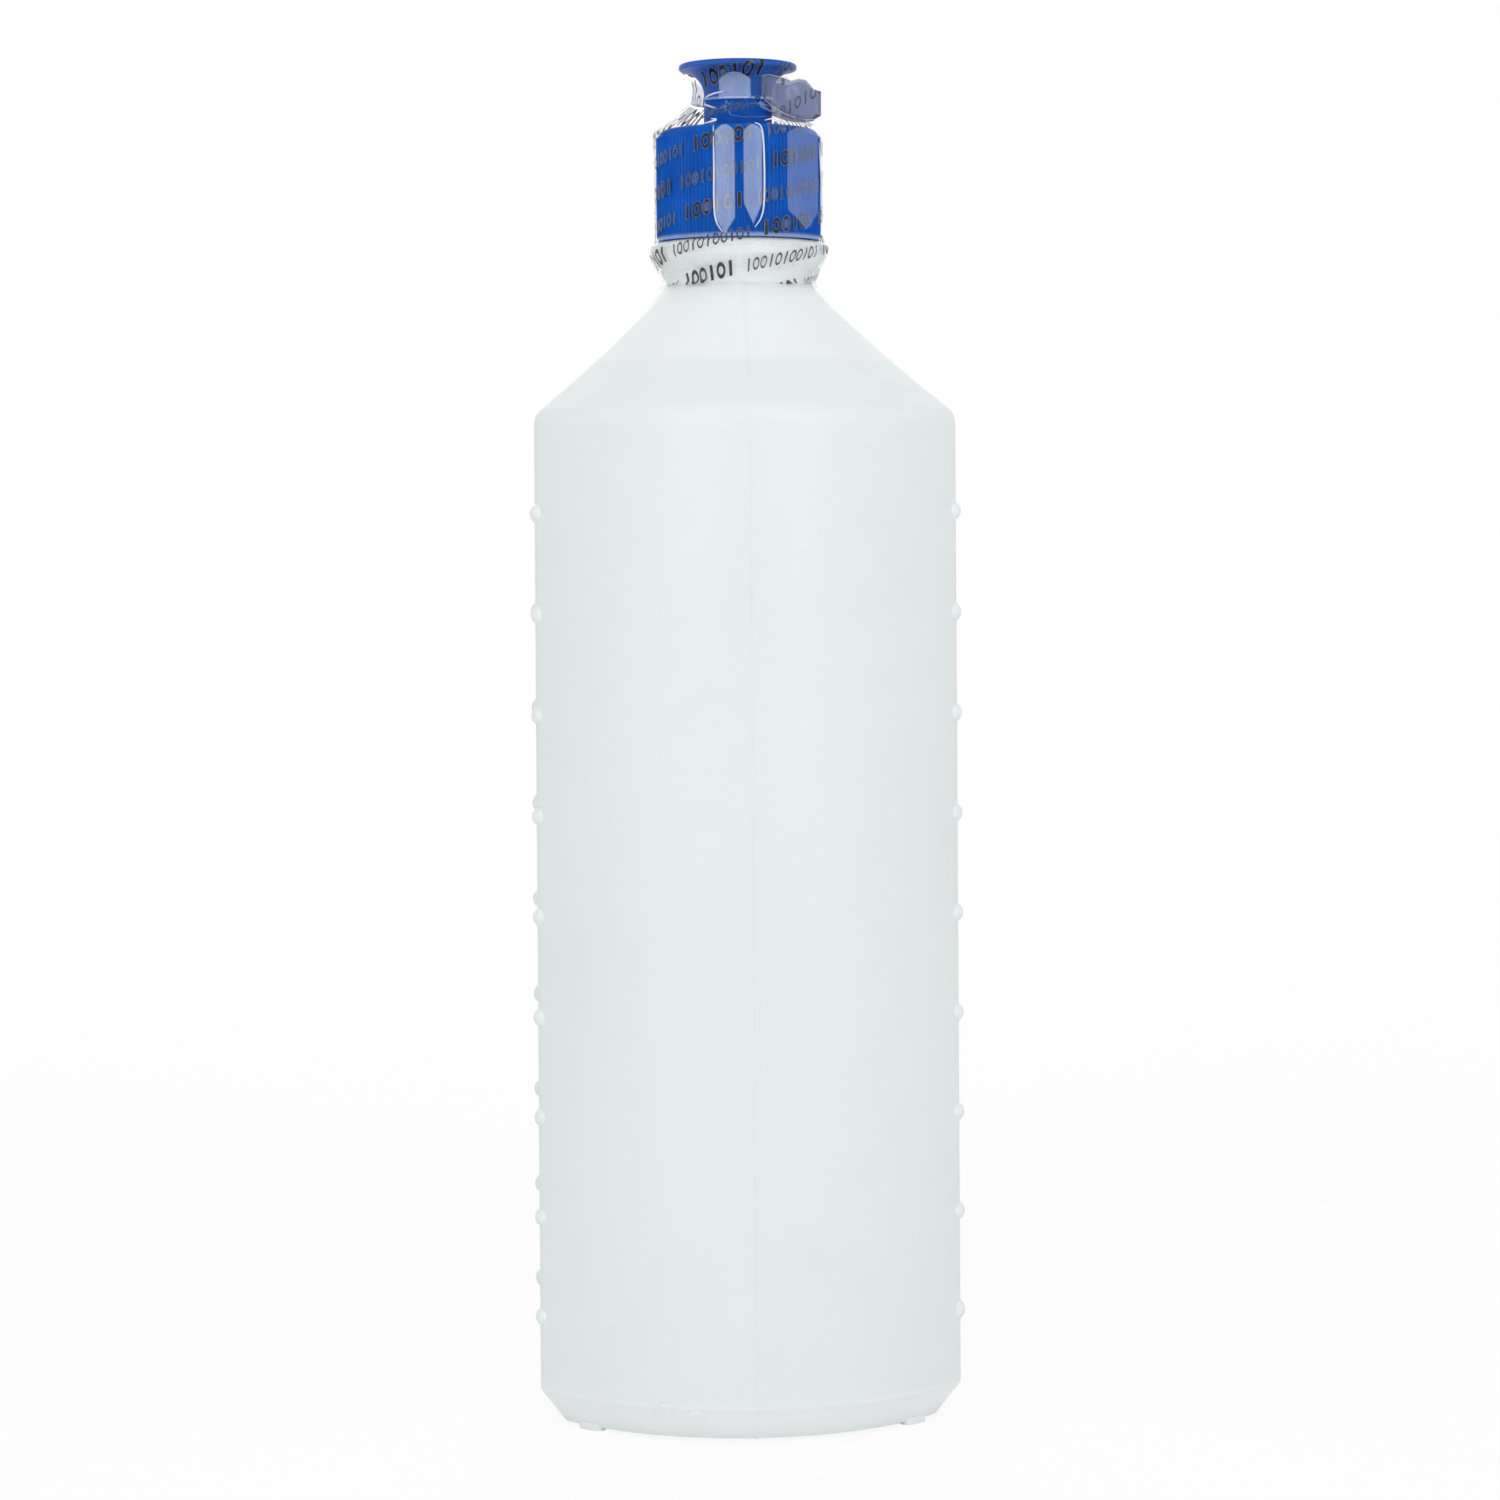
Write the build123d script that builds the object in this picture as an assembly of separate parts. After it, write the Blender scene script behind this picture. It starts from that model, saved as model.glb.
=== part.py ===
from build123d import *
import os
from math import atan2, cos, degrees, hypot, pi, radians, sin, sqrt

os.makedirs("parts", exist_ok=True)

# Squeeze bottle for contact lens solution, full and still sealed.
# +Z is up, the origin lies under the middle of the base, on the plane of the feet.
# Every length is in millimetres.

# ---- Body ---------------------------------------------------------------------
FLANK_TOP = 32.1          # half width over the flat flanks, at the shoulder crease
FLANK_FOOT = 32.45        # the same at the base, a little wider
BOW_DEPTH = 32.4          # half depth over the bowed front and back
CORNER_Y = 15.7           # where a flank's flat would meet the bow
CORNER_ROUND = 3.0        # rounding of the four upright corners
WALL = 1.0                # blow-moulded wall
BODY_HEIGHT = 154.8       # feet to the shoulder crease
CREASE_ROUND = 3.2        # rounding of the shoulder crease
CHAMFER_ROUND = 0.8       # rounding above the base chamfer
SHOULDER_HEIGHT = 20.4    # crease to the root of the neck
SHOULDER_SAG = 0.7        # hollow of the shoulder, at its middle

# ---- Base -----------------------------------------------------------------------
FOOT_LIFT = 0.5           # how far the four feet stand below the base
FOOT_LENGTH = 4.6
FOOT_WIDTH = 2.2
FOOT_INSET = 0.5          # how far a foot's middle lies inside the edge of the base
FOOT_ROOT = 0.6           # how far a foot reaches up into the base
FOOT_BEARING = 43.8       # degrees round the bow of the base, from its middle to a foot
CHAMFER_HEIGHT = 5.1
CHAMFER_INSET = 3.8
PUSH_UP = 2.2             # hollow under the base
PUSH_UP_INSET = 8.5
MARK_D = 2.1              # two moulding dots on the front of the base chamfer
MARK_RISE = 0.35
MARK_PLACES = ((-14.0, 5.4), (-9.3, 4.5))   # across, up
SEAM_WIDTH = 0.4          # mould parting seam, front and back
SEAM_RISE = 0.12

# ---- Grip bumps ------------------------------------------------------------------
BUMP_COUNT = 9            # on each upright corner
BUMP_FIRST = 16.9         # feet to the lowest bump
BUMP_LAST = 14.9          # highest bump to the shoulder crease
BUMP_RADIUS = 1.57        # ball that each bump is the cap of
BUMP_RISE = 0.82

# ---- Neck -------------------------------------------------------------------------
NECK_R = 11.35
NECK_BORE_R = 9.1
BEAD_R = 13.45            # transfer bead under the cap
BEAD_FOOT = 1.8           # neck root to the start of the bead's cone
BEAD_CONE = 2.4
BEAD_HEIGHT = 1.9
BEAD_GAP = 0.55           # bead to the cap's skirt
BEAD_ROUND = 0.5

# ---- Screw thread -------------------------------------------------------------------
THREAD_R = 11.6           # over the neck's thread
THREAD_DEPTH = 0.85
THREAD_PITCH = 3.175
THREAD_ROOT = 1.5         # width of a ridge at its root
THREAD_CREST = 0.8
THREAD_BITE = 0.3         # how deep a ridge is rooted in its wall
NECK_TURNS = 1.5
CAP_TURNS = 2.0
THREAD_FIT = 0.15         # radial play between cap and neck
LAND_TO_THREAD = 1.9      # neck's top face to the middle of its last ridge

# ---- Cap ------------------------------------------------------------------------------
CAP_WALL = 0.8
CAP_HEIGHT = 17.25
CAP_DECK = 1.2
CAP_ROUND = 1.2
RIB_COUNT = 120
RIB_RISE = 0.2
RIB_FOOT = 0.7            # plain band under the ribs
RIB_SET = 0.05            # how far the plain band and the shoulder lie inside the ribs' feet
LINER = 0.9               # sealing wad's thickness
LINER_PLAY = 0.3
LINER_HOLE_R = 5.2

# ---- Pull spout ---------------------------------------------------------------------------
WAIST_R = 5.3
FLANGE_R = 9.15
SPOUT_WALL = 0.9
SPOUT_PLAY = 0.3          # gap between the spout's foot and the deck, shut
RIM = 0.9                 # thickness of the flange's edge
RIM_ROUND = 0.35
DISH_R = 7.9              # dished top
DISH_DEPTH = 0.5
NOZZLE_R = 3.0            # raised ring about the orifice
NOZZLE_RISE = 0.4
ORIFICE_R = 1.55
ORIFICE_LAND = 1.55       # spout's ceiling to the dish
HEADROOM = 1.8            # tower's top to the spout's ceiling, shut
TRAVEL = 4.5              # how far the spout pulls up
SNAP = 0.25               # overlap of the lip and the bead that stop it
SNAP_HEIGHT = 0.7
STOP_PLAY = 0.1           # what is left between lip and bead, pulled up
SLIDE_FIT = 0.1           # running clearance of the spout on its tower
PIN_FIT = 0.05
PIN_SHORT = 0.3           # dish to the top of the pin, shut
TOWER_WALL = 0.9
SPOKES = 3
SPOKE_WIDTH = 1.1

# ---- Shrink film ---------------------------------------------------------------------------
FILM = 0.22               # thickness
FILM_GAP = 0.33           # how loosely it lies about what it wraps
RIM_FILM_GAP = 0.1        # the same about the spout's flange
TEAR_GAP = 0.3            # width of each torn ring, where the three bands part
FILM_CONE_R = 7.35        # film about the waist, at the foot of the spout's band
FILM_WAIST_R = 7.15       # the same half way up the waist
FILM_CONE_RISE = 3.9      # deck to the top of the film's cone
CONE_SLOPE = 35.2         # degrees that the film's cone rises from the cap's shoulder
FILM_RIM_DROP = 0.25      # flange's top to the film's upper edge
FIN_REACH = 12.9          # far edge of the film's loose flap, from the axis
FIN_TOP = 4.0             # flap's top above the film's cone
FIN_TURN = -4.0           # degrees that the flap leans from the flank's axis

# ---- Contents ---------------------------------------------------------------------------------
HEADSPACE = 12.2          # liquid's level to the root of the neck
LIQUID_PLAY = 0.3

# ---- Working values ------------------------------------------------------------------------------
STRAIGHT = 1e-3           # below this a length counts as nothing
CORNERS = ((1, 1), (-1, 1), (-1, -1), (1, -1))
wall_drop = 0.41          # how much lower the shoulder's inside lies, for each unit of wall

# ---- Heights that follow -----------------------------------------------------------------------
base_z = FOOT_LIFT
chamfer_z = base_z + CHAMFER_HEIGHT
bump_pitch = (BODY_HEIGHT - BUMP_FIRST - BUMP_LAST) / (BUMP_COUNT - 1)
neck_z = BODY_HEIGHT + SHOULDER_HEIGHT
fill_z = neck_z - HEADSPACE
bead_z = neck_z + BEAD_FOOT
bead_cone_z = bead_z + BEAD_CONE
bead_top_z = bead_cone_z + BEAD_HEIGHT
skirt_z = bead_top_z + BEAD_GAP
deck_z = skirt_z + CAP_HEIGHT
ceiling_in_cap_z = deck_z - CAP_DECK
land_z = ceiling_in_cap_z - LINER
neck_thread_z = land_z - LAND_TO_THREAD - NECK_TURNS * THREAD_PITCH
cap_thread_z = neck_thread_z - THREAD_PITCH / 2
spout_z = deck_z + SPOUT_PLAY
lip_top_z = spout_z + SNAP_HEIGHT
tower_bead_z = lip_top_z + TRAVEL + STOP_PLAY
tower_top_z = tower_bead_z + SNAP_HEIGHT
ceiling_z = tower_top_z + HEADROOM
dish_z = ceiling_z + ORIFICE_LAND
top_z = dish_z + DISH_DEPTH
rim_z = top_z - RIM

# ---- Radii that follow ----------------------------------------------------------------------------
thread_root_r = THREAD_R - THREAD_DEPTH
cap_bore_r = THREAD_R + THREAD_FIT
cap_r = cap_bore_r + CAP_WALL
rib_r = cap_r + RIB_RISE
liner_r = cap_bore_r - LINER_PLAY
film_rise = FILM_GAP + FILM
cap_film_r = rib_r + film_rise
rim_film_r = FLANGE_R + RIM_FILM_GAP + FILM
spout_bore_r = WAIST_R - SPOUT_WALL
tower_bead_r = spout_bore_r - SLIDE_FIT
tower_r = tower_bead_r - SNAP
lip_r = tower_r + SLIDE_FIT
tower_bore_r = tower_r - TOWER_WALL
pin_r = ORIFICE_R - PIN_FIT


def polar(radius, degrees):
    """Point of the XY plane at a distance and a bearing."""
    return radius * cos(radians(degrees)), radius * sin(radians(degrees))


def lathe(points):
    """Solid turned about Z from an outline of (radius, height) corners."""
    outline = Polyline([(r, 0, z) for r, z in points], close=True)
    return revolve(make_face(outline), Axis.Z)


def tube(outer, inner, low, high):
    """Plain ring or pipe about Z."""
    return lathe([(inner, low), (outer, low), (outer, high), (inner, high)])


def disc(radius, low, high):
    """Plain round bar about Z."""
    return Pos(0, 0, low) * extrude(Circle(radius), amount=high - low)


# ---- Outline of the body ------------------------------------------------------------------------------

def bow_circle(flank, inset):
    """Radius of the bowed front at an inset, and how far behind the axis its centre lies."""
    bow = (flank ** 2 + (BOW_DEPTH - CORNER_Y) ** 2) / (2 * (BOW_DEPTH - CORNER_Y))
    return bow - inset, bow - BOW_DEPTH


def quarter(flank, inset):
    """Front right quarter of a level outline, moved in by an inset.

    The flank's flat, the corner's rounding and the bowed front meet smoothly. Gives the corner's
    start, middle and end, the front's crest, and the degrees that the corner turns through.
    """
    bow_in, bow_centre = bow_circle(flank, inset)
    side = flank - inset
    corner = max(CORNER_ROUND - inset, CORNER_ROUND / 3)
    centre_x = side - corner
    centre_y = bow_centre - sqrt((bow_in - corner) ** 2 - centre_x ** 2)
    lean = atan2(bow_centre - centre_y, centre_x)
    start = (side, centre_y)
    middle = (centre_x + corner * cos(lean / 2), centre_y - corner * sin(lean / 2))
    end = (bow_in * cos(lean), bow_centre - bow_in * sin(lean))
    return start, middle, end, (0.0, bow_centre - bow_in), degrees(lean)


def level(flank, inset):
    """Whole level outline as eight stretches of (start, middle, end), clockwise from the right flank."""
    start, middle, end, crest, _ = quarter(flank, inset)

    def flip(point, sx, sy):
        return sx * point[0], sy * point[1]

    flank_middle = (start[0], 0.0)
    return [
        (flip(start, 1, -1), flank_middle, start),
        (start, middle, end),
        (end, crest, flip(end, -1, 1)),
        (flip(end, -1, 1), flip(middle, -1, 1), flip(start, -1, 1)),
        (flip(start, -1, 1), flip(flank_middle, -1, 1), flip(start, -1, -1)),
        (flip(start, -1, -1), flip(middle, -1, -1), flip(end, -1, -1)),
        (flip(end, -1, -1), flip(crest, 1, -1), flip(end, 1, -1)),
        (flip(end, 1, -1), flip(middle, 1, -1), flip(start, 1, -1)),
    ]


def drawn_in(outline, radius, share, sag=0.0):
    """The outline drawn towards a circle: share 0 keeps it, share 1 is the circle."""

    def move(point):
        reach = hypot(*point)
        drawn = reach + (radius - reach) * share - sag
        return point[0] * drawn / reach, point[1] * drawn / reach

    return [tuple(move(point) for point in stretch) for stretch in outline]


def plate(outline, z):
    """Flat face inside a level outline, at a height."""
    edges = []
    for start, middle, end in outline:
        a, m, b = ((*point, z) for point in (start, middle, end))
        bend = (b[0] - a[0]) * (m[1] - a[1]) - (b[1] - a[1]) * (m[0] - a[0])
        edges.append(ThreePointArc(a, m, b) if abs(bend) > STRAIGHT else Line(a, b))
    return make_face(edges)


def body_form(inset, neck_r, drop=0.0):
    """The body's form, moved in by an inset, from its base to the root of its neck."""
    low = base_z + inset
    crease = BODY_HEIGHT - drop
    foot = level(FLANK_FOOT, inset)
    head = level(FLANK_TOP, inset)
    half_z = (crease + neck_z - drop) / 2
    base = loft([plate(level(FLANK_FOOT, CHAMFER_INSET + inset), low), plate(foot, chamfer_z)], ruled=True)
    trunk = loft([plate(foot, chamfer_z), plate(head, crease)], ruled=True)
    shoulder = loft([
        plate(head, crease),
        plate(drawn_in(head, neck_r, 0.5, SHOULDER_SAG), half_z),
        plate(drawn_in(head, neck_r, 1.0), neck_z - drop),
    ])
    form = base + trunk + shoulder
    form = fillet(level_edges(form, crease), CREASE_ROUND - inset)
    return fillet(level_edges(form, chamfer_z), CHAMFER_ROUND)


def level_edges(form, z):
    """The edges that run round a form at one height."""
    return form.edges().filter_by(lambda e: all(abs(v.Z - z) < STRAIGHT for v in e.vertices()))


def push_up(grow):
    """Hollow that the base is pushed up into, grown all round by a wall."""
    foot = level(FLANK_FOOT, PUSH_UP_INSET - grow)
    crown = level(FLANK_FOOT, PUSH_UP_INSET + PUSH_UP - grow)
    return loft([plate(foot, base_z), plate(crown, base_z + PUSH_UP + grow)], ruled=True)


# ---- Bottle -----------------------------------------------------------------------------------------------

def bumps():
    """Rows of small domes up the four corners, for grip."""
    domes = []
    for step in range(BUMP_COUNT):
        z = BUMP_FIRST + step * bump_pitch
        share = (z - chamfer_z) / (BODY_HEIGHT - chamfer_z)
        _, (x, y), _, _, turn = quarter(FLANK_FOOT + (FLANK_TOP - FLANK_FOOT) * share, 0.0)
        dx, dy = polar(BUMP_RISE - BUMP_RADIUS, -turn / 2)
        domes += [Pos(sx * (x + dx), sy * (y + dy), z) * Sphere(BUMP_RADIUS) for sx, sy in CORNERS]
    return domes


def feet():
    """Four flat-soled nubs under the corners, which the bottle stands on."""
    bow, bow_centre = bow_circle(FLANK_FOOT, CHAMFER_INSET + FOOT_INSET)
    x = bow * sin(radians(FOOT_BEARING))
    y = bow_centre - bow * cos(radians(FOOT_BEARING))
    pads = []
    for sx, sy in CORNERS:
        sole = Pos(sx * x, sy * y) * Rot(0, 0, sx * sy * FOOT_BEARING) * SlotOverall(FOOT_LENGTH, FOOT_WIDTH)
        pads.append(extrude(sole, amount=FOOT_LIFT + FOOT_ROOT))
    return pads


def marks():
    """Two moulding dots on the front of the base chamfer."""
    slope = degrees(atan2(CHAMFER_INSET, CHAMFER_HEIGHT))
    dots = []
    for x, z in MARK_PLACES:
        bow, bow_centre = bow_circle(FLANK_FOOT, CHAMFER_INSET * (chamfer_z - z) / CHAMFER_HEIGHT)
        reach = sqrt(bow ** 2 - x ** 2)
        bearing = degrees(atan2(x, reach))
        y = bow_centre - reach
        dot = Pos(x, y, z) * Rot(0, 0, bearing) * Rot(90 + slope, 0, 0)
        dots.append(dot * Cylinder(MARK_D / 2, 2 * MARK_RISE))
    return dots


def seam():
    """Thin parting ridge of the mould, up the front, over the shoulder and down the back."""
    blade = Pos(0, 0, neck_z / 2) * Box(SEAM_WIDTH, 4 * BOW_DEPTH, 2 * neck_z)
    return body_form(-SEAM_RISE, NECK_R) & blade


def neck():
    """Neck with its transfer bead, up to the land that the cap seals on."""
    post = lathe([
        (0, neck_z - WALL), (NECK_R, neck_z - WALL), (NECK_R, bead_z), (BEAD_R, bead_cone_z),
        (BEAD_R, bead_top_z), (thread_root_r, bead_top_z), (thread_root_r, land_z), (0, land_z),
    ])
    rims = post.edges().filter_by(GeomType.CIRCLE).filter_by(lambda e: abs(e.radius - BEAD_R) < STRAIGHT)
    return fillet(rims, BEAD_ROUND)


def thread(wall_r, outward, start_z, turns):
    """Right-handed helical ridge on a wall, from the middle of its lower end."""
    path = Pos(0, 0, start_z) * Helix(THREAD_PITCH, turns * THREAD_PITCH, wall_r)
    side = 1 if outward else -1
    section = Polyline(
        (-THREAD_BITE, -THREAD_ROOT / 2), (THREAD_DEPTH, -THREAD_CREST / 2),
        (THREAD_DEPTH, THREAD_CREST / 2), (-THREAD_BITE, THREAD_ROOT / 2), close=True)
    start = Plane(origin=path @ 0, x_dir=(side, 0, 0), z_dir=path % 0)
    return sweep(start * make_face(section), path=path, is_frenet=True)


def bottle():
    """Blow-moulded body: hollow, with bumps, feet, seam and threaded neck."""
    outside = body_form(0.0, NECK_R) + neck() + feet() + bumps() + marks() + seam() - push_up(0.0)
    bore = disc(NECK_BORE_R, neck_z - 2 * wall_drop, land_z)
    return outside - cavity(WALL) - bore + thread(thread_root_r, True, neck_thread_z, NECK_TURNS)


def cavity(inset):
    """What the wall leaves free inside the body."""
    return body_form(inset, NECK_BORE_R - inset + WALL, wall_drop * inset) - push_up(inset)


def solution():
    """The liquid, up to its level."""
    above = Pos(0, 0, fill_z + neck_z / 2) * Box(4 * FLANK_FOOT, 4 * BOW_DEPTH, neck_z)
    return cavity(WALL + LIQUID_PLAY) - above


# ---- Closure ------------------------------------------------------------------------------------------------

def ribs():
    """Fine upright ribs round the cap, from its plain foot to its rounded shoulder."""
    outline = []
    for step in range(RIB_COUNT):
        outline.append(polar(cap_r, 360 * step / RIB_COUNT))
        outline.append(polar(rib_r, 360 * (step + 0.5) / RIB_COUNT))
    low = skirt_z + RIB_FOOT
    ring = make_face(Polyline(outline, close=True)) - Circle(cap_bore_r)
    return Pos(0, 0, low) * extrude(ring, amount=deck_z - CAP_ROUND - low)


def blank():
    """Plain cap with a rounded shoulder; the feet of the ribs stand just outside it."""
    radius = cap_r - RIB_SET
    post = disc(radius, skirt_z, deck_z)
    return fillet(level_edges(post, deck_z), CAP_ROUND)


def tower():
    """Fixed stem that the spout slides on, with its stop bead and its plug on spokes."""
    stem = lathe([
        (tower_bore_r, ceiling_in_cap_z), (tower_r, ceiling_in_cap_z), (tower_r, tower_bead_z),
        (tower_bead_r, tower_bead_z), (tower_bead_r, tower_bead_z + SNAP_HEIGHT / 2),
        (tower_r, tower_top_z), (tower_bore_r, tower_top_z),
    ])
    plug = disc(pin_r, ceiling_in_cap_z, dish_z - PIN_SHORT)
    plug = chamfer(level_edges(plug, dish_z - PIN_SHORT), pin_r / 4)
    arm = tower_bore_r + TOWER_WALL / 2
    spoke = Pos(arm / 2, 0, deck_z - CAP_DECK / 2) * Box(arm, SPOKE_WIDTH, CAP_DECK)
    return [stem, plug] + [Rot(0, 0, 360 * turn / SPOKES) * spoke for turn in range(SPOKES)]


def cap():
    """Ribbed screw cap, threaded inside, with the tower on its deck."""
    hollow = disc(cap_bore_r, skirt_z, ceiling_in_cap_z)
    flow = disc(tower_bore_r, ceiling_in_cap_z, deck_z)
    plain = blank() - hollow - flow
    return plain + ribs() + tower() + thread(cap_bore_r, False, cap_thread_z, CAP_TURNS)


def cap_liner():
    """Soft sealing wad between the cap's ceiling and the neck's land."""
    return tube(liner_r, LINER_HOLE_R, land_z, ceiling_in_cap_z)


def pull_spout():
    """Spool-shaped spout: narrow waist, wide thin flange, dished top with the orifice."""
    flare = FLANGE_R - WAIST_R
    flare_z = rim_z - flare
    outline = Polyline([(r, 0, z) for r, z in [
        (FLANGE_R, rim_z), (FLANGE_R, top_z), (DISH_R, top_z), (DISH_R - DISH_DEPTH, dish_z),
        (NOZZLE_R + NOZZLE_RISE, dish_z), (NOZZLE_R, dish_z + NOZZLE_RISE),
        (ORIFICE_R, dish_z + NOZZLE_RISE), (ORIFICE_R, ceiling_z), (spout_bore_r, ceiling_z),
        (spout_bore_r, lip_top_z), (lip_r, lip_top_z), (lip_r, spout_z), (WAIST_R, spout_z),
        (WAIST_R, flare_z),
    ]])
    bend = ThreePointArc(
        (WAIST_R, 0, flare_z), (FLANGE_R - flare * cos(pi / 4), 0, flare_z + flare * sin(pi / 4)),
        (FLANGE_R, 0, rim_z))
    spool = revolve(make_face([*outline.edges(), *bend.edges()]), Axis.Z)
    rims = spool.edges().filter_by(GeomType.CIRCLE).filter_by(lambda e: abs(e.radius - FLANGE_R) < STRAIGHT)
    return fillet(rims, RIM_ROUND)


# ---- Shrink film -----------------------------------------------------------------------------------------------

def skin(points):
    """Film turned about Z along an open outline of (radius, height) corners, from its foot upwards."""
    inner = []
    for step, (r, z) in enumerate(points):
        r0, z0 = points[max(step - 1, 0)]
        r1, z1 = points[min(step + 1, len(points) - 1)]
        length = hypot(r1 - r0, z1 - z0)
        inner.append((r - FILM * (z1 - z0) / length, z + FILM * (r1 - r0) / length))
    return lathe(points + inner[::-1])


def neck_film():
    """Band of film about the neck and its bead, which stays on the bottle."""
    return skin([
        (NECK_R + film_rise, neck_z + FILM), (BEAD_R + film_rise, bead_cone_z),
        (BEAD_R + film_rise, bead_top_z - BEAD_ROUND), (cap_film_r, skirt_z - TEAR_GAP),
    ])


def cone_foot():
    """Where the film leaves the cap's shoulder for the waist: radius and height."""
    return cone_arc(90 - CONE_SLOPE)


def cone_arc(bearing):
    """Point of the film over the cap's rounded shoulder."""
    r, rise = polar(CAP_ROUND + film_rise, bearing)
    return rib_r - CAP_ROUND + r, deck_z - CAP_ROUND + rise


def cap_film():
    """Band of film about the cap, with its cone up to the spout's waist."""
    bend = [cone_arc(bearing) for bearing in (0, (90 - CONE_SLOPE) / 2, 90 - CONE_SLOPE)]
    return skin([(cap_film_r, skirt_z)] + bend + [(FILM_CONE_R, deck_z + FILM_CONE_RISE)])


def spout_film():
    """Band of film about the spout's waist and flange, with its loose flap."""
    foot_z = deck_z + FILM_CONE_RISE + TEAR_GAP
    waist_z = (foot_z + rim_z) / 2
    band = skin([
        (FILM_CONE_R, foot_z), (FILM_WAIST_R, (foot_z + waist_z) / 2), (FILM_CONE_R, waist_z + FILM),
        (rim_film_r, rim_z), (rim_film_r, top_z - FILM_RIM_DROP),
    ])
    end_r, end_z = cone_foot()
    flap = make_face(Polyline([(r, 0, z) for r, z in [
        (FILM_CONE_R - FILM / 2, foot_z), (end_r, end_z + TEAR_GAP), (FIN_REACH - FILM, end_z + TEAR_GAP),
        (FIN_REACH, foot_z + FIN_TOP / 3), (FIN_REACH - 1, foot_z + FIN_TOP / 2),
        (FIN_REACH - 1.6, foot_z + FIN_TOP), (FILM_CONE_R, foot_z + FIN_TOP * 0.8),
    ]], close=True))
    flap = extrude(flap, amount=FILM, both=True)
    return band + Rot(0, 0, FIN_TURN) * flap


# ---- Written pieces --------------------------------------------------------------------------------------------------

PIECES = {
    "bottle": bottle,
    "solution": solution,
    "cap": cap,
    "cap_liner": cap_liner,
    "pull_spout": pull_spout,
    "neck_film": neck_film,
    "cap_film": cap_film,
    "spout_film": spout_film,
}

for name, make in PIECES.items():
    export_step(make(), f"parts/{name}.step")
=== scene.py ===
import math

import bpy
from bpy.props import FloatProperty, FloatVectorProperty, IntProperty, PointerProperty
from mathutils import Matrix, Vector, noise


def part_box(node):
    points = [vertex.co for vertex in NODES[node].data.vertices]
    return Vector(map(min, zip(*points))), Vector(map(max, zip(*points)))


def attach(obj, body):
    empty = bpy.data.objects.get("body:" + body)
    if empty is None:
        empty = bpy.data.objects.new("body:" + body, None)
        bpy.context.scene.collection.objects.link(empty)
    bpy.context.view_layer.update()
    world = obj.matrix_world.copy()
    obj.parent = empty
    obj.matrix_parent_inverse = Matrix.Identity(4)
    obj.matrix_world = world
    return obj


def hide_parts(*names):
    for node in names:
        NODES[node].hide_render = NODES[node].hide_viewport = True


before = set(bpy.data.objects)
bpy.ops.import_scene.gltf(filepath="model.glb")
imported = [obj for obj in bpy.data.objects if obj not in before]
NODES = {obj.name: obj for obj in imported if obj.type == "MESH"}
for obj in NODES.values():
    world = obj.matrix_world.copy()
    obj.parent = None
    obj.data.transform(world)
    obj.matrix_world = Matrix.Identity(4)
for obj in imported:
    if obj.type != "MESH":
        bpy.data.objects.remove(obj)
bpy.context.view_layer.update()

bl_info = {
    "name": "Lens Solution Bottle",
    "version": (1, 0, 0),
    "blender": (4, 5, 0),
    "location": "3D View > Sidebar > Bottle",
    "description": "Finishes a squeeze bottle: milky body, blue closure, creased clear film, and a studio",
    "category": "Object",
}

MM = 0.001

BODY_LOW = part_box("bottle")[0]
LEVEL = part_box("solution")[1].z                  # the liquid's level
NECK_LOW, NECK_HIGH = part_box("neck_film")
CAP_LOW, CAP_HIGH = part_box("cap_film")
SPOUT_LOW, SPOUT_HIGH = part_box("pull_spout")
BAND_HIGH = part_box("spout_film")[1]
FLANGE_R = SPOUT_HIGH.x
FILM_R = CAP_HIGH.x                              # film about the cap
BEAD_R = NECK_HIGH.x                             # film about the bead
SPOUT_PLAY = 0.3 * MM                            # between the spout's foot and the cap's deck
DECK_Z = SPOUT_LOW.z - SPOUT_PLAY
SHOULDER_Z = DECK_Z - 1.2 * MM                   # where the cap's round shoulder starts
CHAMFER_Z = 5.6 * MM                             # top of the base chamfer
TEAR = 0.3 * MM                                  # torn ring between two bands of film
SHEET = 0.05 * MM                                # film's real thickness
SPOUT_FILM_R = 7.4 * MM                          # film about the spout's waist


# ---- Shader expressions --------------------------------------------------------------------------

class Val:
    """One socket of a material's tree that takes part in sums."""

    def __init__(self, mat, socket):
        self.mat = mat
        self.socket = socket

    def _sum(self, operation, *values):
        return self.mat.add("ShaderNodeMath", {"operation": operation}, *values)

    def __add__(self, other):
        return self._sum("ADD", self, other)

    def __sub__(self, other):
        return self._sum("SUBTRACT", self, other)

    def __mul__(self, other):
        return self._sum("MULTIPLY", self, other)

    def __truediv__(self, other):
        return self._sum("DIVIDE", self, other)

    def __rsub__(self, other):
        return self._sum("SUBTRACT", other, self)

    def __neg__(self):
        return self * -1

    __radd__ = __add__
    __rmul__ = __mul__

    def abs(self):
        return self._sum("ABSOLUTE", self)

    def fraction(self):
        return self._sum("FRACT", self)

    def least(self, other):
        return self._sum("MINIMUM", self, other)

    def most(self, other):
        return self._sum("MAXIMUM", self, other)

    def angle(self, other):
        return self._sum("ARCTAN2", self, other)

    def root(self):
        return self._sum("SQRT", self)

    def step(self, low, high):
        """0 below low, 1 above high, smooth between them; high may be the lower one."""
        return self.mat.add(
            "ShaderNodeMapRange", {"interpolation_type": "SMOOTHSTEP"}, self, low, high, 0.0, 1.0)


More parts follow.
